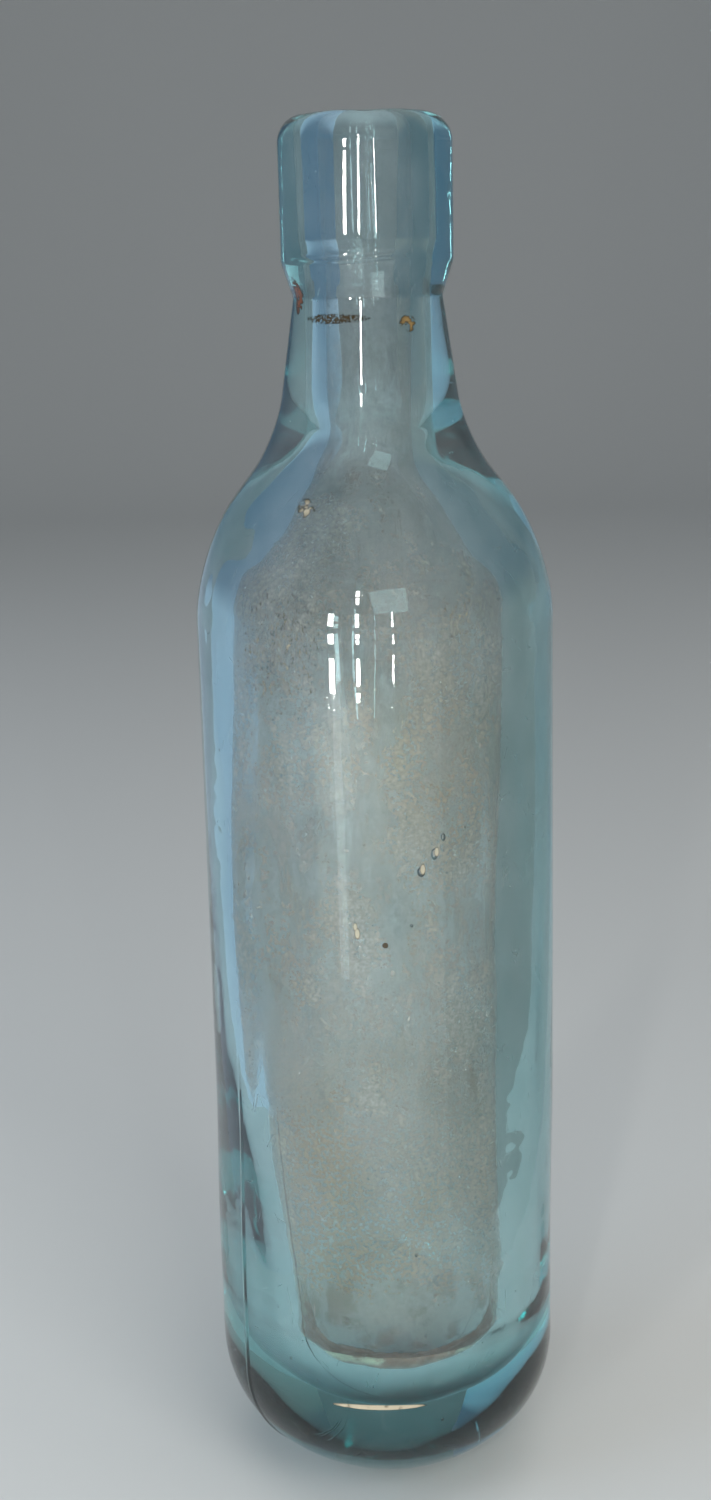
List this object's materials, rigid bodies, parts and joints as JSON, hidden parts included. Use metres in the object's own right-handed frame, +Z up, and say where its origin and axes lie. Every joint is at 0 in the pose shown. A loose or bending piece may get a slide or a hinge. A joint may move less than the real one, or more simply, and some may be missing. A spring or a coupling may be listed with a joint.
{
  "type": "round-bottomed glass soda bottle",
  "caption": "Thick hand-blown aqua glass bottle with a round solid base, straight barrel, short narrow neck and a tall applied lip with an open cork bore.",
  "frame": {"origin": "pole of the round base, the lowest point, on the bottle's axis", "axes": "+Z up the bottle's axis out of the mouth; the side seen in the reference view faces -Y, with +X to its right"},
  "size_m": [0.0606, 0.0606, 0.24],
  "materials": {
    "body_glass": "thick aqua glass, smooth outside with fine scratches, hazy inside",
    "lip_glass": "thick aqua glass, tooled smooth, with a rust stain under the lip",
    "sediment": "matt dried mineral deposit"
  },
  "bodies": {
    "root": {"bottle_body": "body_glass", "applied_lip": "lip_glass", "sediment_crust": "sediment"}
  },
  "joints": []
}
